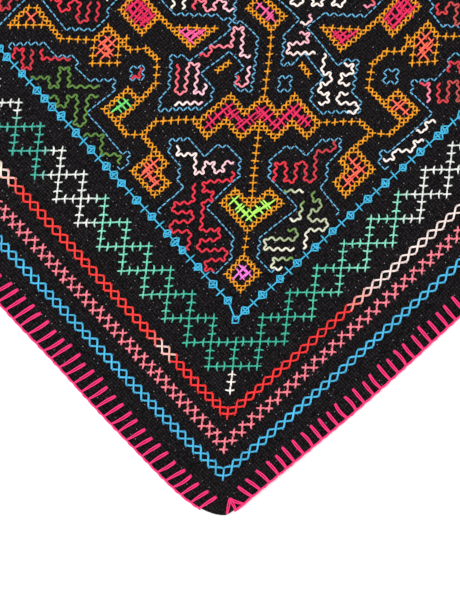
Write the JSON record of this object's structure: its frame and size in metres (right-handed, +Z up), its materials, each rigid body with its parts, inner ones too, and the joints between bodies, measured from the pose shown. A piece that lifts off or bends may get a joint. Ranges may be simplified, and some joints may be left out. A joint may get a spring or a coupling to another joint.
{
  "type": "shipibo embroidered cloth",
  "caption": "Nearly square black cotton cloth with counted-thread needlework in angular line figures, stepped border rows and a blanket-stitched edge, lying flat.",
  "frame": {"origin": "middle of the cloth, on the surface it lies on", "axes": "+Z up out of the patterned face; +X along the weft and +Y along the warp, so both follow the cloth's edges"},
  "size_m": [0.3972, 0.3822, 0.003],
  "materials": {
    "black_cotton": "matt plain-woven black cotton",
    "bright_yarn": "twisted cotton yarn in bright dyed colours, slightly fuzzy"
  },
  "bodies": {
    "root": {"cloth": "black_cotton"}
  },
  "joints": []
}
